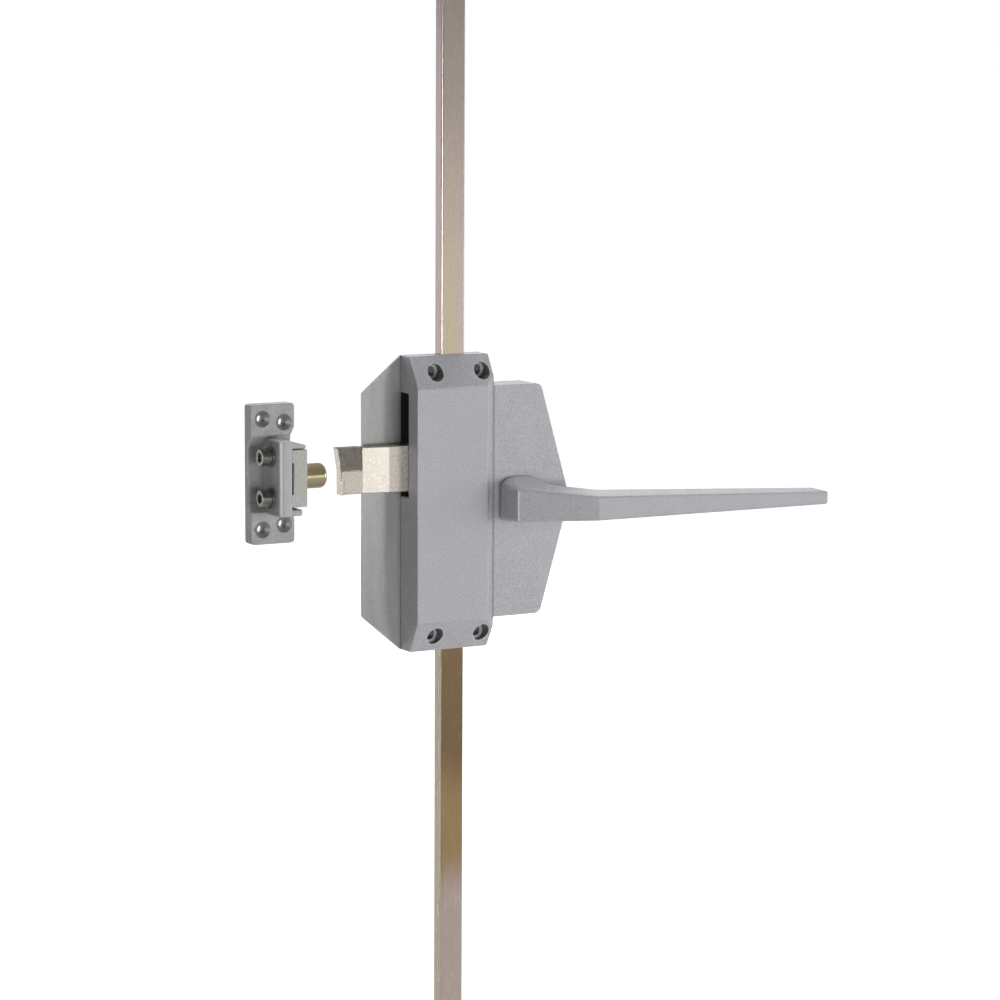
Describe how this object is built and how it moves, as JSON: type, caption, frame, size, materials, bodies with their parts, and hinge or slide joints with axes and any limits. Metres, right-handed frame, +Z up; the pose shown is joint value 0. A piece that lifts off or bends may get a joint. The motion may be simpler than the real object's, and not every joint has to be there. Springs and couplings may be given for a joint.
{
  "type": "cremone bolt",
  "caption": "Surface-mounted cremone bolt: a lever turns a geared case that draws two flat rods and a hook latch, with a separate adjustable strike.",
  "frame": {"origin": "on the face of the door, at the middle of the four holes that fix the case, level with the handle axis and on the rods' centre line", "axes": "+X to the right, the way the lever points; +Y into the door; +Z up along the rods"},
  "size_m": [0.3092, 0.05, 0.55],
  "materials": {
    "cast_paint": "fine speckled silver-grey powder coat",
    "plate_steel": "smooth zinc plate, half gloss",
    "screw_steel": "zinc plate",
    "guide_nylon": "natural nylon",
    "pin_steel": "ground",
    "clip_steel": "blackened spring steel",
    "bush_bronze": "plain bronze",
    "washer_nylon": "black nylon",
    "gear_steel": "sintered, oiled",
    "rod_steel": "yellow zinc passivate, satin",
    "latch_steel": "bright nickel plate",
    "spring_wire": "drawn wire",
    "strike_cast": "cast, tumbled, dull zinc plate",
    "block_steel": "satin zinc plate",
    "pin_brass": "turned",
    "clamp_steel": "yellow zinc plate"
  },
  "bodies": {
    "case": {"case_cover": "cast_paint", "base_plate": "plate_steel", "cover_screws": "screw_steel", "upper_rod_guide": "guide_nylon", "lower_rod_guide": "guide_nylon", "upper_guide": "guide_nylon", "lower_guide": "guide_nylon", "guide_screws": "screw_steel", "pinion_pin": "pin_steel", "pinion_clip": "clip_steel", "front_bush": "bush_bronze", "rear_bush": "bush_bronze", "return_spring": "spring_wire", "strike_plate": "strike_cast"},
    "handle": {"lever_handle": "cast_paint", "neck_washer": "washer_nylon", "spindle": "pin_steel", "grub_screw": "clip_steel", "toothed_sector": "gear_steel", "sector_clip": "clip_steel"},
    "lower_rod_set": {"lower_slider": "gear_steel", "lower_rod": "rod_steel", "lower_rod_screws": "screw_steel", "hook_latch": "latch_steel", "latch_rivets": "screw_steel"},
    "upper_rod_set": {"upper_slider": "gear_steel", "upper_rod": "rod_steel", "upper_rod_screws": "screw_steel"},
    "pinion": {"reversing_pinion": "gear_steel"},
    "strike_block_set": {"strike_block": "block_steel", "strike_pin": "pin_brass", "clamp_screws": "clamp_steel", "clamp_washers": "screw_steel"}
  },
  "joints": [
    {"name": "handle_turn", "type": "hinge", "parent": "case", "child": "handle", "pos_m": [0.0335, 0, 0], "axis": [0, 1, 0], "range_deg": [0, 60], "stiffness_Nm_per_rad": 1, "springref_deg": -28.65},
    {"name": "lower_rod_slide", "type": "slide", "parent": "case", "child": "lower_rod_set", "axis": [0, 0, 1], "range_m": [0, 0.0236], "deforming": ["return_spring"]},
    {"name": "upper_rod_slide", "type": "slide", "parent": "case", "child": "upper_rod_set", "axis": [0, 0, 1], "range_m": [-0.0236, 0]},
    {"name": "pinion_spin", "type": "hinge", "parent": "case", "child": "pinion", "pos_m": [-0.005, 0, 0], "axis": [0, 1, 0], "range_deg": [-181, 0]},
    {"name": "strike_adjust", "type": "slide", "parent": "case", "child": "strike_block_set", "axis": [0, 1, 0], "range_m": [-0.002, 0.002]}
  ],
  "couplings": [
    {"joint": "lower_rod_slide", "follows": "handle_turn", "m_per_rad": 0.0225},
    {"joint": "upper_rod_slide", "follows": "handle_turn", "m_per_rad": -0.0225},
    {"joint": "pinion_spin", "follows": "handle_turn", "ratio": -3}
  ]
}
